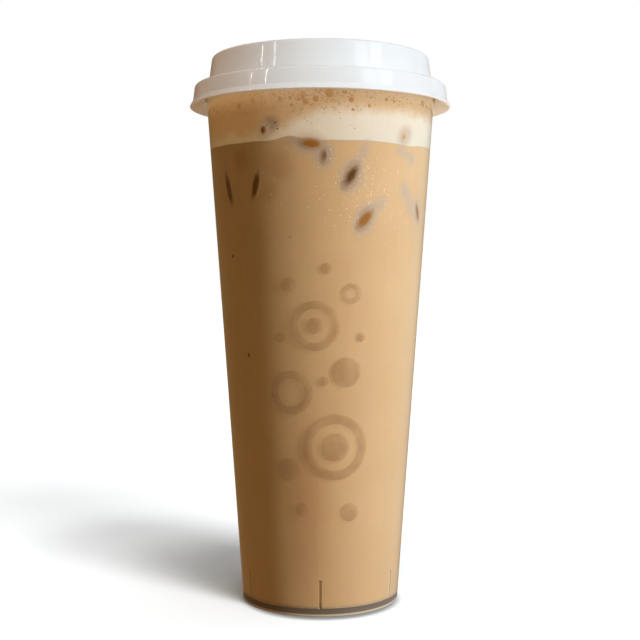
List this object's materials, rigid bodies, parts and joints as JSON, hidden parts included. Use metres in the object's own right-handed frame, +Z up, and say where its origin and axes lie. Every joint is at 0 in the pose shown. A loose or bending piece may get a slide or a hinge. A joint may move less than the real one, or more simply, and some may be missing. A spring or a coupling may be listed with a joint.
{
  "type": "bubble tea",
  "caption": "Iced milk tea under a layer of milk foam, in a tall tapered clear plastic cup closed by a white press-fit lid.",
  "frame": {"origin": "centre of the cup's foot, on the surface that it stands on", "axes": "+Z up along the cup's axis, -Y towards the side that the picture shows"},
  "size_m": [0.0954, 0.0954, 0.1984],
  "materials": {
    "clear_plastic": "clear, slightly hazy injection-moulded plastic",
    "milk_tea": "opaque milky liquid, light brown",
    "milk_foam": "pale cream foam with fine bubbles",
    "white_plastic": "smooth opaque white plastic"
  },
  "bodies": {
    "root": {"cup": "clear_plastic", "milk_tea": "milk_tea", "milk_foam": "milk_foam", "lid": "white_plastic"}
  },
  "joints": []
}
